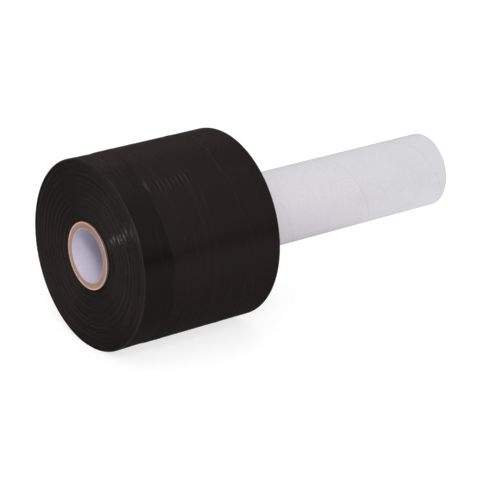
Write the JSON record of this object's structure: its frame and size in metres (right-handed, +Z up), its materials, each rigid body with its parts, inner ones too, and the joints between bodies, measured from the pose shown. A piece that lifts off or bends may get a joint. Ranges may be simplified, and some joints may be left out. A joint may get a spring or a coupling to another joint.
{
  "type": "stretch wrap roll",
  "caption": "Hand roll of black stretch film wound on an extended paper core, with a paper sleeve over the bare end to hold it by.",
  "frame": {"origin": "on the surface that the film rests on, under the middle of the core", "axes": "+X along the core from the film towards the gripping end, +Z up"},
  "size_m": [0.2032, 0.091, 0.0908],
  "materials": {
    "film": "gloss, drawn tight",
    "core_paper": "kraft plies, with a white inner ply",
    "sleeve_paper": "smooth white outer ply"
  },
  "bodies": {
    "root": {"film_roll": "film", "core_tube": "core_paper", "handle_sleeve": "sleeve_paper"}
  },
  "joints": []
}
